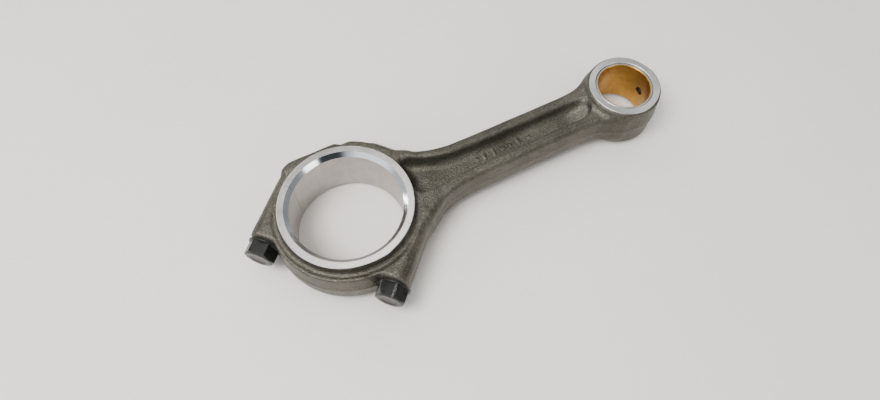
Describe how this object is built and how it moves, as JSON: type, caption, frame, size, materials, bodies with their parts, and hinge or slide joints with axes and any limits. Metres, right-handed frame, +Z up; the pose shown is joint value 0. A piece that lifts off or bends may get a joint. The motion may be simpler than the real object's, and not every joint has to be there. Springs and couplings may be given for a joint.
{
  "type": "connecting rod",
  "caption": "Forged I-beam engine connecting rod with a bronze-lined small end and an obliquely split, bolted big-end cap.",
  "frame": {"origin": "bottom centre of the whole rod's box, with the rod lying flat on one big-end face", "axes": "+X from the big end to the small end, +Z up along both bores; the big end's axis is at x = -0.0697, y = 0.0077 and the small end's at x = 0.1053, y = 0.0077"},
  "size_m": [0.2546, 0.0994, 0.033],
  "materials": {
    "forged_steel": "shot-blasted grey-brown forging skin, with bright turned faces and bored holes",
    "bolt_steel": "semi-gloss black oxide",
    "bronze": "bored bronze lining, satin",
    "sleeve_steel": "ground"
  },
  "bodies": {
    "rod": {"rod_body": "forged_steel", "small_end_bush": "bronze", "dowel_sleeve_far": "sleeve_steel", "dowel_sleeve_near": "sleeve_steel"},
    "cap": {"bearing_cap": "forged_steel"},
    "bolt_far": {"cap_bolt_far": "bolt_steel"},
    "bolt_near": {"cap_bolt_near": "bolt_steel"}
  },
  "joints": [
    {"name": "cap_lift", "type": "slide", "parent": "rod", "child": "cap", "axis": [-0.7071, -0.7071, 0], "range_m": [0, 0.018]},
    {"name": "bolt_far_turn", "type": "hinge", "parent": "cap", "child": "bolt_far", "pos_m": [-0.09532, 0.03336, 0.0165], "axis": [-0.7071, -0.7071, 0], "range_deg": [0, 5184]},
    {"name": "bolt_near_turn", "type": "hinge", "parent": "cap", "child": "bolt_near", "pos_m": [-0.04399, -0.01797, 0.0165], "axis": [-0.7071, -0.7071, 0], "range_deg": [0, 5184]}
  ],
  "couplings": [
    {"joint": "bolt_far_turn", "follows": "cap_lift", "rad_per_m": 5026.5},
    {"joint": "bolt_near_turn", "follows": "cap_lift", "rad_per_m": 5026.5}
  ]
}
